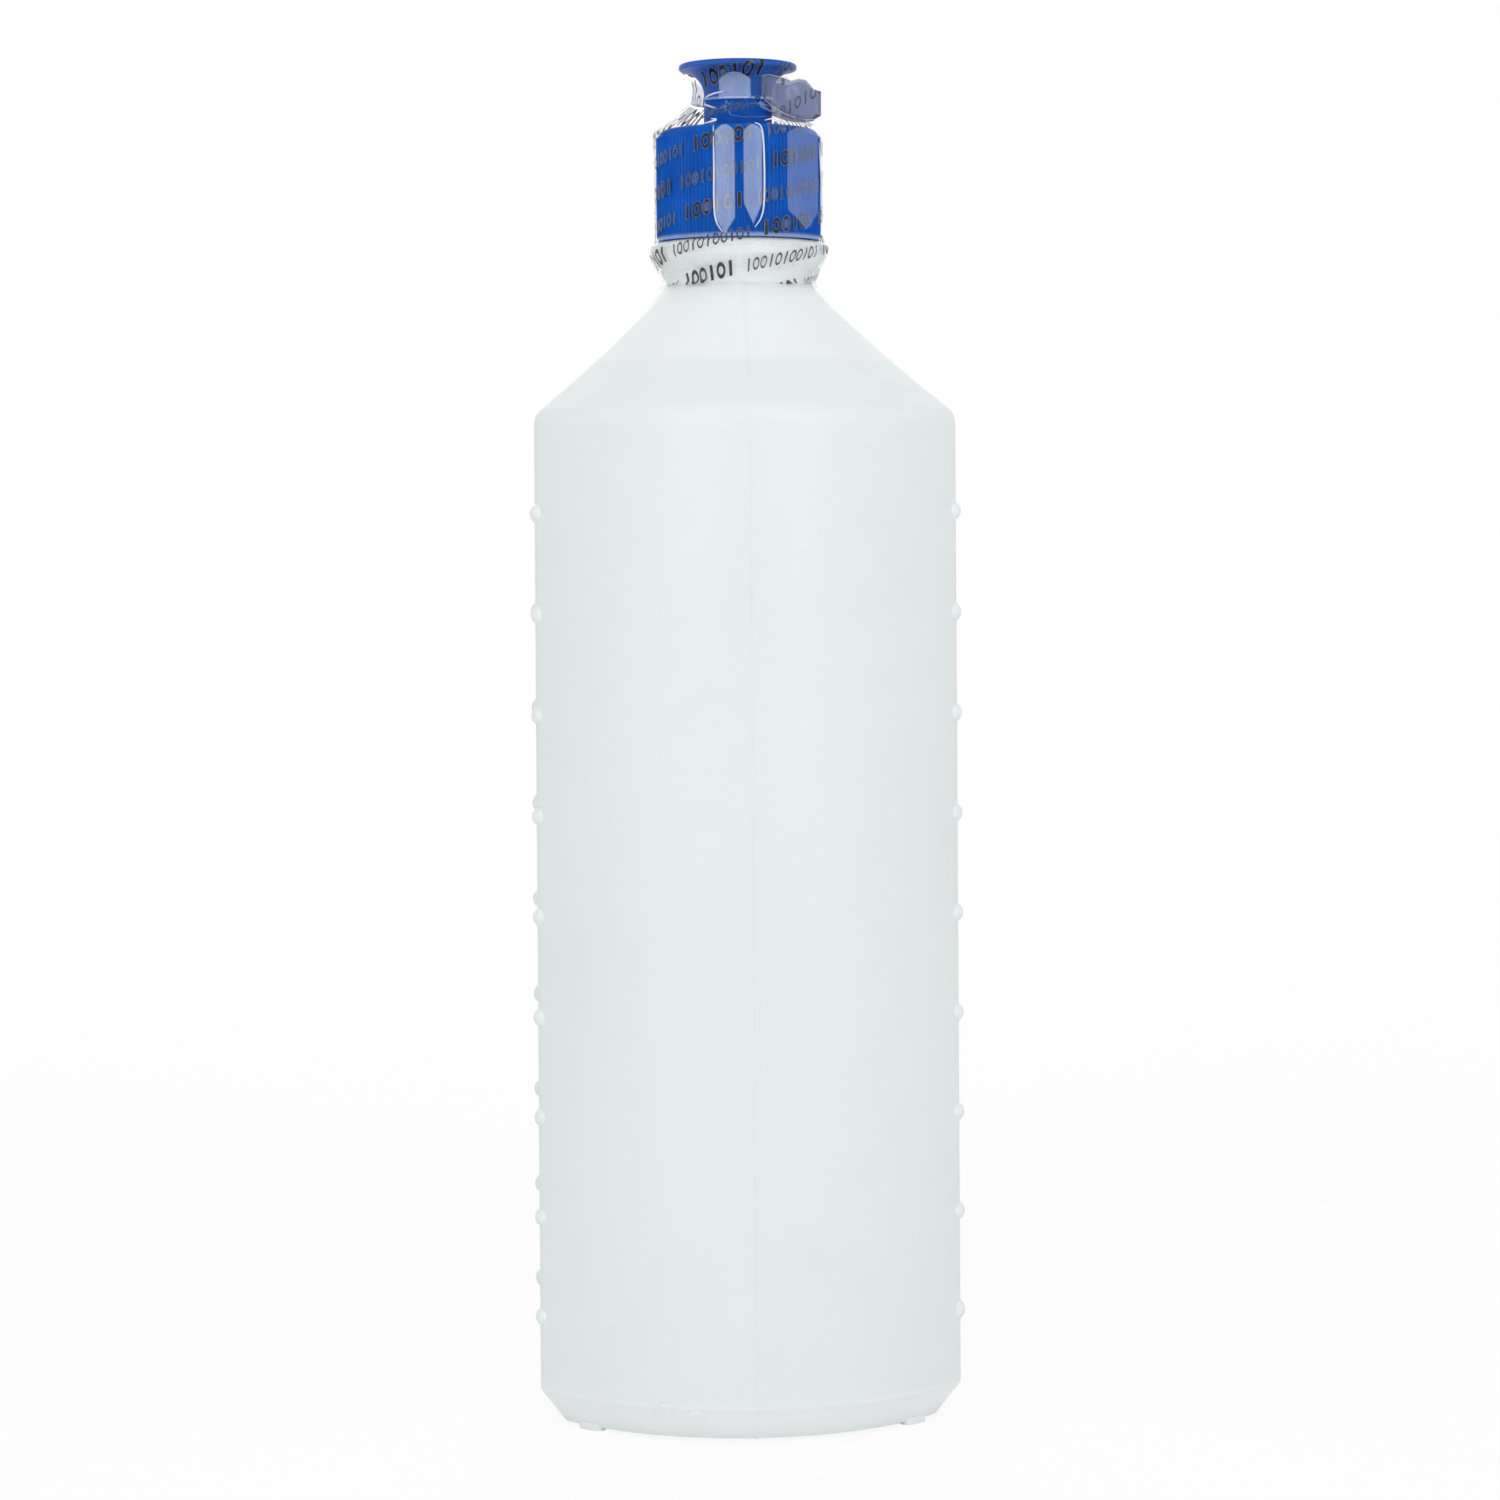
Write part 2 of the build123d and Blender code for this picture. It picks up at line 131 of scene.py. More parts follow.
class Tree:
    """A node tree, written as expressions."""

    def __init__(self, tree):
        self.tree = tree

    def add(self, kind, settings, *inputs, out=0, **named):
        """Any node: its settings first, then its sockets in order or by name."""
        node = self.tree.nodes.new(kind)
        for key, value in settings.items():
            setattr(node, key, value)
        for key, value in list(enumerate(inputs)) + list(named.items()):
            self.put(node.inputs[key], value)
        return Val(self, node.outputs[out])

    def put(self, socket, value):
        """A link or a plain value into a socket."""
        if isinstance(value, Val):
            self.tree.links.new(value.socket, socket)
        else:
            socket.default_value = value

    def seen(self):
        """1 for rays that show the background: from the camera, off a gloss or through glass."""
        path = self.add("ShaderNodeLightPath", {}).socket.node
        camera, glossy, through = (Val(self, path.outputs[f"Is {kind} Ray"])
                                   for kind in ("Camera", "Glossy", "Transmission"))
        return camera.most(glossy).most(through)


class Mat(Tree):
    """A material's node tree."""

    def __init__(self, name):
        self.data = bpy.data.materials.new(name)
        self.data.use_nodes = True
        super().__init__(self.data.node_tree)
        self.shader = self.tree.nodes["Principled BSDF"]
        self.place = self.add("ShaderNodeTexCoord", {}, out="Object")

    def axes(self):
        """The place's x, y and z in metres."""
        node = self.add("ShaderNodeSeparateXYZ", {}, self.place)
        return [Val(self, out) for out in node.socket.node.outputs]

    def noise(self, size, detail=2.0, roughness=0.5):
        """Soft noise, 0 to 1, with features of about that size in metres."""
        settings = {"noise_dimensions": "3D"}
        return self.add("ShaderNodeTexNoise", settings, Vector=self.place, Scale=1 / size, Detail=detail,
                        Roughness=roughness)

    def blend(self, share, low, high):
        """Colour between two colours."""
        node = self.tree.nodes.new("ShaderNodeMix")
        node.data_type = "RGBA"
        for key, value in ((0, share), (6, low), (7, high)):
            self.put(node.inputs[key], value)
        return Val(self, node.outputs[2])

    def bump(self, height, strength, distance):
        """Normal from a height."""
        return self.add("ShaderNodeBump", {}, Strength=strength, Distance=distance, Height=height)

    def finish(self, **values):
        """Shader sockets by name, with underscores for spaces."""
        for key, value in values.items():
            self.put(self.shader.inputs[key.replace("_", " ")], value)
        return self.data


def rgba(colour):
    """Four numbers from a colour property."""
    return (*colour[:3], 1.0)


def bottle_plastic(look):
    """Milky polyethylene: faint mottling, flecks, a seam on the shoulder, a paler headspace, and painted
    light on the base chamfer.
    """
    mat = Mat("milky_polyethylene")
    x, _, z = mat.axes()
    wall = mat.noise(38 * MM, 3.0) * 0.7 + mat.noise(7 * MM) * 0.3
    seam = x.abs().step(0.45 * MM, 0.1 * MM) * z.step(LEVEL - 8 * MM, LEVEL + 4 * MM) * 0.45
    fleck = mat.noise(1.3 * MM, 3.0, 0.7).step(0.73, 0.78) * mat.noise(26 * MM).step(0.5, 0.62) * 0.5
    duller = wall.step(0.35, 0.75) * 0.22 + seam + fleck
    headspace = z.step(LEVEL - 0.6 * MM, LEVEL + 0.6 * MM)
    # Painted light: the base chamfer is painted paler, to lift the shade on its downward face.
    base = z.step(CHAMFER_Z + 1.4 * MM, CHAMFER_Z - 1.6 * MM)
    # Share of the paler colour: half over the headspace, and full over the base chamfer as painted light.
    headspace_and_painted_light_share = headspace * 0.5 + base
    colour = mat.blend(duller.least(1.0), rgba(look.body), rgba(look.body_shade))
    colour = mat.blend(headspace_and_painted_light_share, colour, rgba(look.headspace_and_painted_light))
    skin = mat.noise(1.1 * MM, 3.0) + mat.noise(9 * MM) * 2.0
    return mat.finish(
        Base_Color=colour, Roughness=mat.noise(5 * MM) * 0.12 + 0.36, IOR=1.5,
        Subsurface_Weight=0.15, Subsurface_Radius=(1.0, 1.0, 1.0), Subsurface_Scale=4 * MM,
        Normal=mat.bump(skin, 0.12, 0.06 * MM))


def liquid(look):
    """Clear saline, faintly blue, with slow streaks."""
    mat = Mat("clear_saline")
    streak = mat.noise(20 * MM, 2.0)
    colour = mat.blend(streak, (0.86, 0.93, 0.96, 1.0), (0.93, 0.97, 0.98, 1.0))
    return mat.finish(Base_Color=colour, Roughness=streak * 0.02 + 0.02, IOR=1.33, Alpha=0.35)


def closure_plastic(look):
    """Blue polypropylene: slight flow marks, fine satin grain, dull scuffs."""
    mat = Mat("blue_polypropylene")
    flow = mat.noise(6 * MM, 3.0)
    scuff = mat.noise(1.4 * MM, 4.0, 0.7).step(0.6, 0.75)
    colour = mat.blend(flow.step(0.35, 0.7), rgba(look.closure), rgba(look.closure_deep))
    colour = mat.blend(scuff * 0.1, colour, rgba(look.closure_light))
    grain = mat.noise(0.25 * MM, 2.0)
    return mat.finish(
        Base_Color=colour, Roughness=scuff * 0.18 + 0.34, IOR=1.49, Specular_IOR_Level=0.08,
        Normal=mat.bump(grain, 0.1, 0.02 * MM))


def liner_foam(look):
    """White closed-cell foam: small pits under a thin skin, with painted shade in the pits."""
    mat = Mat("wad_foam")
    cell = mat.add("ShaderNodeTexVoronoi", {"feature": "F1"}, Vector=mat.place, Scale=1 / (0.4 * MM))
    # Painted shade: the pits are painted darker than the skin between them.
    colour = mat.blend(cell.step(0.2, 0.7), (0.78, 0.78, 0.75, 1.0), (0.9, 0.9, 0.88, 1.0))
    return mat.finish(Base_Color=colour, Roughness=0.7, Normal=mat.bump(cell, 0.3, 0.05 * MM))


def film_print(mat, along, up, look, slant):
    """Slanted rows of plain rings and strokes, some bold and some light: 1 where there is ink."""
    row = (up - along * math.tan(slant)) / look.print_pitch
    across = row.fraction()
    number = row - across
    place = (along / look.print_repeat + number * 0.47).fraction()
    height = (across - 0.27) / 0.46
    bold = mark_run(place, height, 0.02, 0.40, 6, 0.26)
    light = mark_run(place, height * 1.2, 0.46, 0.97, 11, 0.19)
    return bold.most(light * 0.95)


def mark_run(place, height, start, end, count, weight):
    """A run of rings and upright strokes, in no set order, between two places in a row."""
    cell = (place - start) * (count / (end - start))
    u = cell.fraction()
    pick = ((cell - u) * 0.618 + 0.2).fraction().step(0.42, 0.44)
    inside = place.step(start, start + 0.003) * place.step(end, end - 0.003)
    x, y = (u - 0.5) / 0.44, (height - 0.5) / 0.5
    ring = ((x * x + y * y).root() - 0.8).abs().step(weight + 0.06, weight - 0.06)
    stroke = (u - 0.5).abs().step(weight * 0.62 + 0.04, weight * 0.62 - 0.04) * y.abs().step(1.04, 0.96)
    return inside * (ring * pick + stroke * (1.0 - pick))


def painted_reflection(angle, z, panels):
    """Long pale panels of painted reflection where the film lies flat: 1 inside them, blunt above and
    narrowed below.
    """
    total = None
    for middle, half, low, high, narrow, strength in panels:
        below = ((z - low) / narrow).most(0.0).least(1.0)
        above = ((-z + high) / (1.1 * MM)).most(0.0).least(1.0).root()
        panel = below.least(above) * half - (angle - middle).abs()
        mask = panel.step(0.0, 0.018) * strength
        total = mask if total is None else total.most(mask)
    return total


def painted_reflection_panels(rows, low, high):
    """Painted reflection panels from rows of degrees round, half width in degrees, lift, narrowing and
    strength.
    """
    return [(math.radians(turn), math.radians(half), low + lift * MM, high, narrow * MM, strength)
            for turn, half, lift, narrow, strength in rows]


def clear_film(look, name, radius, tint, haze, fold, rim, panels=()):
    """Clear shrink film: nearly invisible, with pale panels of painted reflection, a pale torn rim, folds
    and print.

    fold is the height above which the film is gathered and how strongly its folds show. rim holds
    the two heights between which the torn edge whitens.
    """
    mat = Mat(name)
    x, y, z = mat.axes()
    angle = x.angle(-y)
    ink = film_print(mat, angle * radius, z, look, look.print_slant)
    crinkle = mat.noise(4.2 * MM, 1.0, 0.5)
    fold_from, fold_strength = fold
    gathered = z.step(fold_from, fold_from + 1.5 * MM) * fold_strength
    folds = (crinkle - 0.5).abs().step(0.016, 0.0) * gathered
    # pale: panels of painted reflection, made pale and part opaque; the print fades under them.
    pale = painted_reflection(angle, z, panels) * 0.22 if panels else crinkle * 0.0
    torn = z.step(*rim) * 0.3
    veil = (pale * (crinkle * 0.5 + 0.75) + folds + torn + haze).least(0.92)
    colour = mat.blend(ink * (1.0 - pale * 2.2), rgba(tint), rgba(look.ink))
    return mat.finish(
        Base_Color=colour, Alpha=veil.most(ink * 0.74), Roughness=crinkle * 0.1 + 0.06, IOR=1.5,
        Specular_IOR_Level=0.35,
        Normal=mat.bump(mat.noise(3.5 * MM, 2.0) + crinkle * 0.4, 0.35, 0.25 * MM))


def fold_film(look, name, tint, alpha, printed):
    """Film folded double or stretched white, at a steady strength, with faint streaks."""
    mat = Mat(name)
    x, _, z = mat.axes()
    streak = mat.noise(3.5 * MM, 2.0, 0.5)
    colour = mat.blend(streak.step(0.5, 0.75) * 0.45, tint, rgba(look.film))
    veil = streak * 0.2 + (alpha - 0.1)
    if printed:
        ink = film_print(mat, x, z, look, look.flap_slant) * 0.7
        colour = mat.blend(ink, colour, rgba(look.ink))
        veil = veil.most(ink) * x.step(0.5 * MM, 7 * MM)
    return mat.finish(
        Base_Color=colour, Alpha=veil, Roughness=0.14, IOR=1.5, Specular_IOR_Level=0.35,
        Normal=mat.bump(streak, 0.3, 0.15 * MM))


# ---- Meshes --------------------------------------------------------------------------------------

def mesh_piece(name, verts, faces, smooth=True):
    """A new object from corners and faces."""
    mesh = bpy.data.meshes.new(name)
    mesh.from_pydata(verts, [], faces)
    mesh.validate()
    mesh.update()
    for face in mesh.polygons:
        face.use_smooth = smooth
    piece = bpy.data.objects.new(name, mesh)
    bpy.context.scene.collection.objects.link(piece)
    return piece


def grid_faces(rows, columns, closed):
    """Quads of a grid of rows; closed joins the last column to the first."""
    faces = []
    for row in range(rows - 1):
        for column in range(columns if closed else columns - 1):
            after = (column + 1) % columns
            faces.append((row * columns + column, row * columns + after,
                          (row + 1) * columns + after, (row + 1) * columns + column))
    return faces


def along_profile(profile, share):
    """(radius, height) at a share of the way up a list of corners, by height."""
    z = profile[0][1] + (profile[-1][1] - profile[0][1]) * share
    for (r0, z0), (r1, z1) in zip(profile, profile[1:]):
        if z <= z1:
            return r0 + (r1 - r0) * (z - z0) / max(z1 - z0, 1e-9), z
    return profile[-1]


def film_band(name, profile, rows, columns, slack, ragged=0.0, seed=0.0):
    """Band of film about a turned profile, crumpled by smooth noise; its lower edge may be ragged."""
    verts = []
    for row in range(rows):
        share = row / (rows - 1)
        r, z = along_profile(profile, share)
        for column in range(columns):
            turn = math.tau * column / columns
            x, y = math.sin(turn), -math.cos(turn)
            spot = Vector((x * 2.2 + seed, y * 2.2, z / (4.5 * MM)))
            pleat = noise.noise(Vector((x * 7 + seed, y * 7, z / (14 * MM))))
            push = slack(share) * (noise.noise(spot) * 0.6 + pleat * 0.7)
            edge = ragged * noise.noise(Vector((x * 4, y * 4, seed))) * max(0.0, 1 - share * 4)
            verts.append(((r + push) * x, (r + push) * y, z + edge))
    piece = mesh_piece(name, verts, grid_faces(rows, columns, True))
    thicken(piece)
    return piece


def thicken(piece):
    """The film's real thickness for a sheet."""
    solid = piece.modifiers.new("thickness", "SOLIDIFY")
    solid.thickness = SHEET
    solid.offset = 0.0


def crease_line(name, points, width, sides=6):
    """Raised crease through points on the film, thin at both ends."""
    verts = []
    for step, point in enumerate(points):
        before = points[max(step - 1, 0)]
        after = points[min(step + 1, len(points) - 1)]
        run = (after - before).normalized()
        side = run.cross(Vector((point.x, point.y, 0))).normalized()
        lift = run.cross(side)
        size = width * (0.25 + 0.75 * math.sin(math.pi * (step + 0.5) / len(points)))
        for corner in range(sides):
            turn = math.tau * corner / sides
            verts.append(point + side * (size * math.cos(turn)) + lift * (size * 0.5 * math.sin(turn)))
    faces = grid_faces(len(points), sides, True)
    faces.append(tuple(range(sides))[::-1])
    faces.append(tuple(range(len(verts) - sides, len(verts))))
    return mesh_piece(name, [tuple(v) for v in verts], faces)


def smooth_route(route, steps=6):
    """Points of a smooth curve through (degrees, radius, height) corners."""
    corners = [Vector((a, r, z)) for a, r, z in route]
    points = []
    for step in range((len(corners) - 1) * steps + 1):
        k = min(step // steps, len(corners) - 2)
        t = step / steps - k
        p0, p1, p2, p3 = (corners[min(max(k + n, 0), len(corners) - 1)] for n in (-1, 0, 1, 2))
        spot = 0.5 * (2 * p1 + (p2 - p0) * t + (2 * p0 - 5 * p1 + 4 * p2 - p3) * t * t
                      + (3 * p1 - p0 - 3 * p2 + p3) * t * t * t)
        turn = math.radians(spot.x)
        points.append(Vector((spot.y * math.sin(turn), -spot.y * math.cos(turn), spot.z)))
    return points


def join(name, pieces):
    """Several meshes as one piece."""
    verts, faces = [], []
    for piece in pieces:
        base = len(verts)
        verts += [tuple(v.co) for v in piece.data.vertices]
        faces += [tuple(base + i for i in face.vertices) for face in piece.data.polygons]
        bpy.data.objects.remove(piece)
    return mesh_piece(name, verts, faces)


def dress(piece, material):
    """One material over a whole piece or CAD node."""
    piece.data.materials.clear()
    piece.data.materials.append(material)


# ---- Properties ----------------------------------------------------------------------------------

def colour_property(name, description, default):
    """A colour that a user would change."""
    return FloatVectorProperty(name=name, description=description, default=default, size=3,
                               subtype="COLOR", min=0.0, max=1.0)


def power_property(name, description, default):
    """A lamp's power."""
    return FloatProperty(name=name, description=description, default=default, unit="POWER")


class BottleLook(bpy.types.PropertyGroup):
    """Colours, print and slack of the film."""

    body: colour_property("Body", "Milky plastic", (0.81, 0.86, 0.86))
    body_shade: colour_property("Body shade", "Mottling, seam and flecks", (0.71, 0.765, 0.765))
    # Paler headspace above the liquid, and painted light on the base chamfer.
    headspace_and_painted_light: colour_property("Headspace", "Above the liquid, and the base chamfer", (0.88, 0.915, 0.915))
    closure: colour_property("Closure", "Blue cap and spout", (0.0, 0.10, 0.50))
    closure_deep: colour_property("Closure shade", "Darker flow marks", (0.0, 0.074, 0.40))
    closure_light: colour_property("Closure scuff", "Paler rubbed spots", (0.10, 0.22, 0.5))
    # Also the colour of the painted reflection panels on the cap and spout film.
    film: colour_property("Film", "Clear film's own pale tint", (0.62, 0.74, 0.98))
    doubled: colour_property("Doubled film", "The loose flap", (0.22, 0.27, 0.46))
    # Also the white of the painted highlight lines along the flap's edges.
    stretched: colour_property("Stretched film", "Film whitened at a crease", (0.9, 0.9, 0.93))
    gather: colour_property("Gathered film", "Film over the white neck", (0.94, 0.96, 0.96))
    ink: colour_property("Ink", "Printed marks on the film", (0.012, 0.013, 0.02))
    print_pitch: FloatProperty(name="Row pitch", description="Height from one printed row to the next",
                               default=5.0 * MM, unit="LENGTH")
    print_repeat: FloatProperty(name="Row repeat", description="Length after which a row repeats",
                                default=27 * MM, unit="LENGTH")
    print_slant: FloatProperty(name="Row slant", description="Rise of the printed rows",
                               default=math.radians(11), unit="ROTATION")
    flap_slant: FloatProperty(name="Flap slant", description="Rise of the rows on the loose flap",
                              default=math.radians(33), unit="ROTATION")
    slack: FloatProperty(name="Film slack", description="How far the film crumples", default=0.22 * MM,
                         unit="LENGTH")


class StudioLook(bpy.types.PropertyGroup):
    """Lamps and lens."""

    key: power_property("Key", "Strength of the two front strips", 2.0)
    side: power_property("Side", "Strength of the side panels", 0.65)
    top: power_property("Top", "Strength of the panel above", 1.6)
    back: power_property("Back", "Strength of the panel behind", 2.2)
    room: FloatProperty(name="Room", description="Strength of the room's even light", default=0.5)
    lens: FloatProperty(name="Lens", description="Focal length", default=90.8, unit="CAMERA")
    columns: IntProperty(name="Film columns", description="Steps round each film band", default=240)


# ---- Pieces --------------------------------------------------------------------------------------

class BottlePiece(bpy.types.Operator):
    """Milky body with its liquid"""
    bl_idname = "lens_bottle.bottle"
    bl_label = "Body and liquid"

    def execute(self, context):
        look = context.scene.bottle_look
        dress(NODES["bottle"], bottle_plastic(look))
        dress(NODES["solution"], liquid(look))
        return {"FINISHED"}


class ClosurePiece(bpy.types.Operator):
    """Blue ribbed cap, its wad and its pull spout"""
    bl_idname = "lens_bottle.closure"
    bl_label = "Cap, wad and spout"

    def execute(self, context):
        look = context.scene.bottle_look
        plastic = closure_plastic(look)
        for node in ("cap", "pull_spout"):
            dress(NODES[node], plastic)
        dress(NODES["cap_liner"], liner_foam(look))
        return {"FINISHED"}


class NeckFilmPiece(bpy.types.Operator):
    """Film band about the neck"""
    bl_idname = "lens_bottle.neck_film"
    bl_label = "Neck film"

    def execute(self, context):
        look = context.scene.bottle_look
        columns = context.scene.studio_look.columns
        low, high = NECK_LOW.z, NECK_HIGH.z
        foot_r = BEAD_R - 2.2 * MM
        profile = [(foot_r + 0.5 * MM, low - 0.5 * MM), (foot_r, low + 0.1 * MM),
                   (foot_r + 0.75 * MM, low + 1.9 * MM), (BEAD_R - 0.7 * MM, low + 3.1 * MM),
                   (BEAD_R, low + 4.3 * MM), (BEAD_R, low + 5.6 * MM), (FILM_R + 0.1 * MM, high)]
        band = film_band("neck_film_band", profile, 26, columns, lambda s: look.slack * (0.9 - s * 0.4),
                         0.6 * MM, 3.0)
        dress(band, clear_film(look, "neck_film", BEAD_R, look.gather, haze=0.15, fold=(low, 0.12),
                               rim=(high - 1.4 * MM, high)))
        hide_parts("neck_film")
        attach(band, "bottle")
        return {"FINISHED"}


class CapFilmPiece(bpy.types.Operator):
    """Film band about the cap, with its cone"""
    bl_idname = "lens_bottle.cap_film"
    bl_label = "Cap film"

    def execute(self, context):
        look = context.scene.bottle_look
        columns = context.scene.studio_look.columns
        low, high = CAP_LOW.z, CAP_HIGH.z
        profile = [(FILM_R, low), (FILM_R - 0.1 * MM, (low + SHOULDER_Z) / 2), (FILM_R, SHOULDER_Z),
                   (FILM_R - 0.25 * MM, SHOULDER_Z + 0.9 * MM),
                   (FILM_R - 0.75 * MM, SHOULDER_Z + 1.45 * MM),
                   (9.3 * MM, SHOULDER_Z + 3.7 * MM), (SPOUT_FILM_R + 0.1 * MM, high)]

        def slack(share):
            """The cone crumples more than the part that grips the cap."""
            return look.slack * (0.45 if share < 0.72 else 1.5)

        band = film_band("cap_film_band", profile, 60, columns, slack, 0.0, 1.0)
        top = DECK_Z - 0.3 * MM
        # Panels of painted reflection on the cap film: degrees round, half width, lift, narrowing,
        # strength.
        panels = painted_reflection_panels((
            (-12.0, 7.0, -0.2, 2.6, 1.0), (6.6, 6.6, 1.2, 3.4, 1.0), (48.0, 17.0, 0.8, 3.0, 0.42),
            (103.0, 9.0, 0.5, 3.0, 1.0), (137.0, 8.0, 1.0, 3.0, 0.8), (172.0, 12.0, 0.6, 2.5, 0.6),
            (-104.0, 14.0, 0.8, 2.5, 0.8), (-140.0, 9.0, 0.5, 3.0, 1.0)), low + 0.4 * MM, top)
        dress(band, clear_film(look, "cap_film", FILM_R, look.film, haze=0.003,
                               fold=(SHOULDER_Z + 0.5 * MM, 0.2), rim=(low + 0.9 * MM, low), panels=panels))
        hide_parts("cap_film")
        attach(band, "cap")
        routes = self.crease_routes(low, top, high)
        creases = [crease_line("crease", smooth_route(route), 0.15 * MM) for route in routes]
        folds = join("cap_film_creases", creases)
        dress(folds, fold_film(look, "film_crease", rgba(look.stretched), 0.8, False))
        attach(folds, "cap")
        return {"FINISHED"}

    def crease_routes(self, low, top, high):
        """Each crease as (degrees round, radius, height) corners."""
        out = FILM_R + 0.02 * MM
        first_panel = [(-19.5, out, top - 0.2 * MM), (-19.3, out, top - 6 * MM),
                       (-18.9, out, low + 3.2 * MM), (-13.5, out, low + 0.6 * MM)]
        second_panel = [(8, out, top + 0.2 * MM), (13.4, out, top - 1.6 * MM),
                        (13.7, out, low + 4.6 * MM), (7.5, out, low + 1.3 * MM)]
        left_shoulder = [(-26, out - 0.2 * MM, top + 0.2 * MM), (-18, out - 0.4 * MM, top + 0.7 * MM),
                         (-22, out - 0.6 * MM, top + 0.9 * MM)]
        right_shoulder = [(15, out - 0.3 * MM, top + 0.6 * MM), (22, out - 0.6 * MM, top + 0.9 * MM),
                          (27, out - 0.2 * MM, top + 0.4 * MM), (38, out - 0.3 * MM, top + 0.5 * MM)]
        cone = [(-44, 7.6 * MM, high - 0.1 * MM), (-42, 8.1 * MM, high - 0.5 * MM),
                (-33, 8.8 * MM, high - 0.9 * MM), (-25, 9.2 * MM, high - 1.3 * MM)]
        right_side = [(66, out, top - 2 * MM), (70, out, top - 7 * MM), (74, out, low + 3 * MM)]
        return first_panel, second_panel, left_shoulder, right_shoulder, cone, right_side


class SpoutFilmPiece(bpy.types.Operator):
    """Film band about the spout, with its loose flap"""
    bl_idname = "lens_bottle.spout_film"
    bl_label = "Spout film"

    def execute(self, context):
        look = context.scene.bottle_look
        columns = context.scene.studio_look.columns
        low, high = CAP_HIGH.z + TEAR, BAND_HIGH.z
        rim_r = FLANGE_R + 0.2 * MM
        profile = [(SPOUT_FILM_R, low), (SPOUT_FILM_R - 0.25 * MM, low + 1.8 * MM),
                   (SPOUT_FILM_R, low + 3.4 * MM), (SPOUT_FILM_R + 0.8 * MM, low + 4.3 * MM),
                   (rim_r, low + 5.0 * MM), (rim_r, high)]
        band = film_band("spout_film_band", profile, 34, columns, lambda s: look.slack * (1.0 - s * 0.75),
                         0.0, 2.0)
        # Panels of painted reflection on the spout film: degrees round, half width, lift, narrowing,
        # strength.
        panels = painted_reflection_panels((
            (-7.0, 20.0, 0.0, 1.0, 0.9), (75.0, 20.0, 0.0, 1.0, 0.5), (150.0, 25.0, 0.0, 1.0, 0.7),
            (-110.0, 24.0, 0.0, 1.0, 0.7)), low - 2 * MM, low + 4.0 * MM)
        dress(band, clear_film(look, "spout_film", SPOUT_FILM_R, look.film, haze=0.02, fold=(high, 0.0),
                               rim=(low + 0.5 * MM, low), panels=panels))
        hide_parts("spout_film")
        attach(band, "spout")
        self.flap(look, low)
        return {"FINISHED"}

    def flap(self, look, low):
        """Two leaves of film, from both sides of the waist to a jagged free edge."""
        tops = (3.6, 3.9, 3.7, 3.5, 3.1, 3.5, 3.4, 2.1, 1.8)        # above the band's foot, waist first
        feet = (0.4, -0.6, -1.3, -1.9, -2.3, -2.6, -2.7, -2.6, -1.9)
        rows = 9
        root_r, root_turn = 7.0 * MM, math.radians(62)
        tip = Vector((BAND_HIGH.x, -0.6 * MM, 0))
        leaves, edge_highlights = [], []
        for side in (-1, 1):
            verts = []
            root = Vector((math.cos(root_turn), side * math.sin(root_turn), 0)) * root_r
            for column, (top, foot) in enumerate(zip(tops, feet)):
                u = column / (len(tops) - 1)
                spot = root.lerp(tip, u)
                for row in range(rows):
                    v = row / (rows - 1)
                    z = low + (foot + (top - foot) * v) * MM
                    sway = noise.noise(Vector((u * 3, v * 2, side * 4.0))) * 0.35 * MM * (1 - u * 0.6)
                    verts.append((spot.x, spot.y + sway, z))
            leaves.append(mesh_piece(f"leaf_{side + 1}", verts, grid_faces(len(tops), rows, False)))
            # The flap's upper and lower edges, for white lines of painted highlight.
            edge_highlights.append([Vector(spot) for spot in verts[rows - 1::rows]])
            edge_highlights.append([Vector(spot) for spot in verts[::rows]])
        flap = join("spout_film_flap", leaves)
        thicken(flap)
        dress(flap, fold_film(look, "film_flap", rgba(look.doubled), 0.6, True))
        pucker = smooth_route([(-20, 7.35 * MM, low + 1.1 * MM), (-31, 7.45 * MM, low + 0.9 * MM),
                               (-42, 7.5 * MM, low + 0.5 * MM), (-44, 7.55 * MM, low + 0.1 * MM)])
        # White lines along the flap's edges are painted highlight; the pucker is a real crease.
        creases = [crease_line("crease", edge, 0.09 * MM) for edge in edge_highlights]
        folds = join("spout_film_creases_and_highlights", creases + [crease_line("crease", pucker, 0.16 * MM)])
        dress(folds, fold_film(look, "flap_edge_highlight", rgba(look.stretched), 0.7, False))
        for piece in (flap, folds):
            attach(piece, "spout")


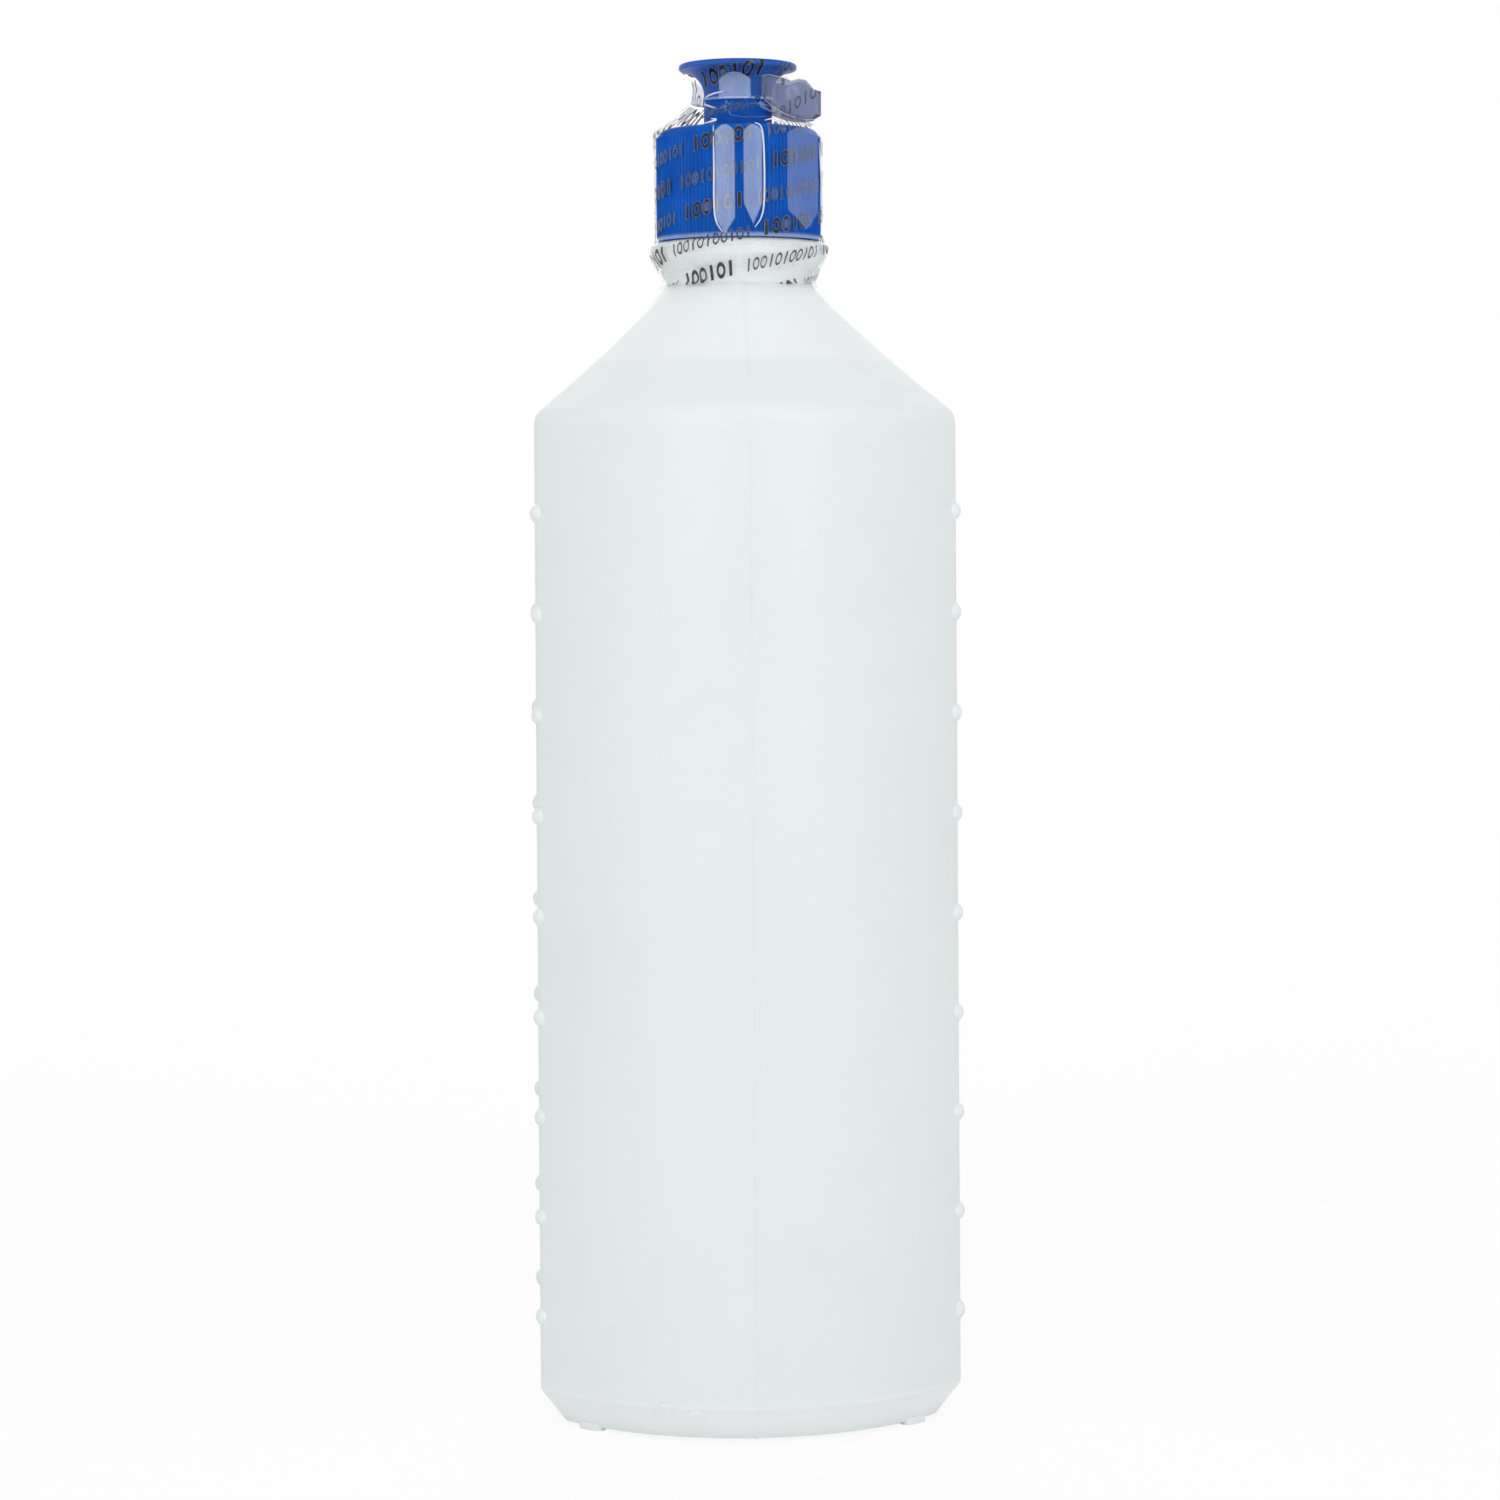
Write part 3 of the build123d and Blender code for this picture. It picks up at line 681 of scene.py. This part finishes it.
class StudioStage(bpy.types.Operator):
    """Pale floor, soft lamps and the camera"""
    bl_idname = "lens_bottle.stage"
    bl_label = "Floor, lamps and camera"

    def execute(self, context):
        studio = context.scene.studio_look
        self.floor()
        self.room(context.scene, studio)
        for name, turn, rise, size, power in (
                ("left_strip", -25.0, 20.0, (0.22, 0.9), studio.key),
                ("right_strip", 25.0, 20.0, (0.22, 0.9), studio.key),
                ("left_panel", -95.0, 25.0, (0.7, 1.0), studio.side),
                ("right_panel", 95.0, 25.0, (0.7, 1.0), studio.side),
                ("top_panel", 0.0, 80.0, (0.9, 0.9), studio.top),
                ("back_panel", 180.0, 30.0, (0.8, 0.8), studio.back)):
            self.lamp(name, turn, rise, size, power)
        self.camera(context.scene, studio)
        return {"FINISHED"}

    def floor(self):
        """A wide floor that shows as white and keeps a little of the bottle's shadow."""
        half = 6.0
        corners = [(-half, -half, 0), (half, -half, 0), (half, half, 0), (-half, half, 0)]
        floor = mesh_piece("floor", corners, [(0, 1, 2, 3)], False)
        mat = Mat("pale_floor")
        grain = mat.noise(0.4, 2.0)
        colour = mat.blend(grain, (0.93, 0.93, 0.93, 1), (0.96, 0.96, 0.96, 1))
        mat.finish(Base_Color=colour, Roughness=0.9)
        light = mat.add("ShaderNodeEmission", {}, Color=(1.0, 1.0, 1.0, 1.0), Strength=1.0)
        x, y, _ = mat.axes()
        far = (x * x + y * y).root().step(0.12, 1.2)      # clear of the bottle's shadow
        shadow = 0.12
        mixed = mat.add("ShaderNodeMixShader", {}, mat.seen() * (far * shadow + (1.0 - shadow)),
                        Val(mat, mat.shader.outputs[0]), light)
        mat.tree.links.new(mixed.socket, mat.tree.nodes["Material Output"].inputs["Surface"])
        dress(floor, mat.data)

    def room(self, scene, studio):
        """Even light from all round, seen as white."""
        world = bpy.data.worlds.new("room")
        scene.world = world
        world.use_nodes = True
        tree = Tree(world.node_tree)
        back = world.node_tree.nodes["Background"]
        tree.put(back.inputs["Color"], (1.0, 1.0, 1.0, 1.0))
        tree.put(back.inputs["Strength"], tree.seen() * (1.0 - studio.room) + studio.room)

    def lamp(self, name, turn, rise, size, power):
        """Soft panel that faces the bottle, by degrees round it and above it."""
        data = bpy.data.lights.new(name, "AREA")
        data.shape = "RECTANGLE"
        data.size, data.size_y = size
        data.energy = power
        lamp = bpy.data.objects.new(name, data)
        aim = Vector((0, 0, (BODY_LOW.z + SPOUT_HIGH.z) / 2))
        a, e = math.radians(turn), math.radians(rise)
        away = Vector((math.sin(a) * math.cos(e), -math.cos(a) * math.cos(e), math.sin(e)))
        lamp.location = aim + away
        lamp.rotation_euler = (aim - lamp.location).to_track_quat("-Z", "Y").to_euler()
        bpy.context.scene.collection.objects.link(lamp)

    def camera(self, scene, studio):
        """Long lens a little left of the middle, two thirds of the way up, looking slightly down."""
        data = bpy.data.cameras.new("camera")
        data.lens = studio.lens
        data.sensor_width = 36.0
        camera = bpy.data.objects.new("camera", data)
        place = Vector((-32.1, -591.3, 136.0)) * MM
        look = Vector((0.0562, 0.9968, -0.0560)).normalized()
        turn = look.to_track_quat("-Z", "Y").to_matrix().to_4x4()
        roll = Matrix.Rotation(math.radians(-0.37), 4, "Z")
        camera.matrix_world = Matrix.Translation(place) @ turn @ roll
        scene.collection.objects.link(camera)
        scene.camera = camera
        scene.view_settings.view_transform = "Standard"


class BottlePanel(bpy.types.Panel):
    """Lists the pieces and their settings"""
    bl_idname = "VIEW3D_PT_lens_bottle"
    bl_label = "Lens solution bottle"
    bl_space_type = "VIEW_3D"
    bl_region_type = "UI"
    bl_category = "Bottle"

    def draw(self, context):
        for operator in PIECES:
            self.layout.operator(operator.bl_idname)
        for group in (context.scene.bottle_look, context.scene.studio_look):
            for key in group.__annotations__:
                self.layout.prop(group, key)


PIECES = (StudioStage, BottlePiece, ClosurePiece, NeckFilmPiece, CapFilmPiece, SpoutFilmPiece)
CLASSES = (BottleLook, StudioLook, *PIECES, BottlePanel)


def register():
    for cls in CLASSES:
        bpy.utils.register_class(cls)
    bpy.types.Scene.bottle_look = PointerProperty(type=BottleLook)
    bpy.types.Scene.studio_look = PointerProperty(type=StudioLook)


def unregister():
    del bpy.types.Scene.bottle_look
    del bpy.types.Scene.studio_look
    for cls in reversed(CLASSES):
        bpy.utils.unregister_class(cls)


def main():
    """Makes every piece."""
    register()
    for piece in PIECES:
        group, name = piece.bl_idname.split(".")
        getattr(getattr(bpy.ops, group), name)()


if __name__ == "__main__":
    main()
